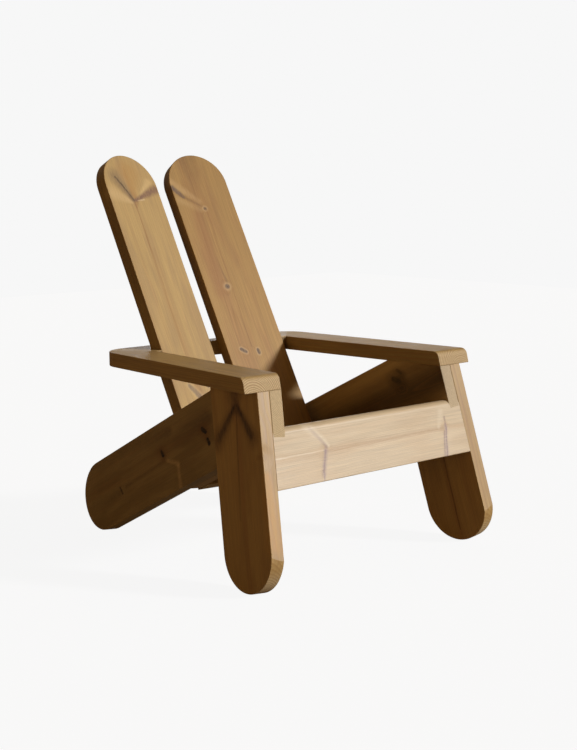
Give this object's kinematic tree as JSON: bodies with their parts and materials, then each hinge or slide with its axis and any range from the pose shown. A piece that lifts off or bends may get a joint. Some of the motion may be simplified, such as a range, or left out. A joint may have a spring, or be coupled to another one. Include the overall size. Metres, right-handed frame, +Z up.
{
  "type": "wooden armchair",
  "caption": "Low reclined wooden lounge armchair with wide round-ended boards for its back, legs and side rails, flat arms, and a sloping slatted seat behind a front apron.",
  "frame": {"origin": "on the floor, at the centre of the chair's outline", "axes": "+Z up, +Y towards the back of the chair, so the sitter faces -Y; +X towards the sitter's left"},
  "size_m": [0.7958, 0.984, 1.0439],
  "materials": {
    "board_wood": "satin oiled softwood",
    "seat_wood": "satin oiled softwood",
    "dowel_wood": "plain beech",
    "screw_steel": "zinc plated"
  },
  "bodies": {
    "root": {"apron_dowels": "dowel_wood", "arm_dowels": "dowel_wood", "arm_left": "board_wood", "arm_rail": "board_wood", "arm_rail_screws": "screw_steel", "arm_right": "board_wood", "back_board_left": "board_wood", "back_board_right": "board_wood", "cleat_screws": "screw_steel", "front_apron": "board_wood", "front_leg_left": "board_wood", "front_leg_right": "board_wood", "ledger_screws": "screw_steel", "lower_back_rail": "board_wood", "lower_back_screws": "screw_steel", "lower_rail_dowels": "dowel_wood", "mitre_dowels": "dowel_wood", "seat_board_front": "seat_wood", "seat_board_middle": "seat_wood", "seat_board_rear": "seat_wood", "seat_cleat_left": "seat_wood", "seat_cleat_right": "seat_wood", "seat_ledger": "seat_wood", "seat_screws": "screw_steel", "side_dowels": "dowel_wood", "side_rail_left": "board_wood", "side_rail_right": "board_wood"}
  },
  "joints": []
}
